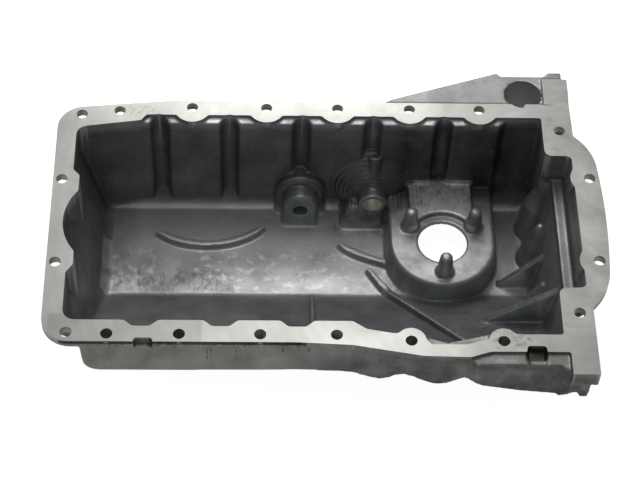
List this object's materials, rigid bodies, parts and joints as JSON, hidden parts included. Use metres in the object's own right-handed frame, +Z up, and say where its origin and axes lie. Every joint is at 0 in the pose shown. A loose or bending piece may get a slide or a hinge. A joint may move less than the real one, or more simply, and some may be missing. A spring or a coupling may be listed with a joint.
{
  "type": "engine oil pan",
  "caption": "Cast engine oil pan: a deep sump with one sloping side, a machined bolt flange, a level-sensor platform, a drain boss and a gearbox bracket.",
  "frame": {"origin": "on the sealing face, where the vertical plane through the crankshaft meets the plane of the gearbox face", "axes": "+Z up, out of the opening; +X from the front of the engine to the gearbox; +Y towards the deep side with the drain"},
  "size_m": [0.423, 0.2878, 0.112],
  "materials": {
    "oil_pan": "cast"
  },
  "bodies": {
    "root": {"oil_pan": "oil_pan"}
  },
  "joints": []
}
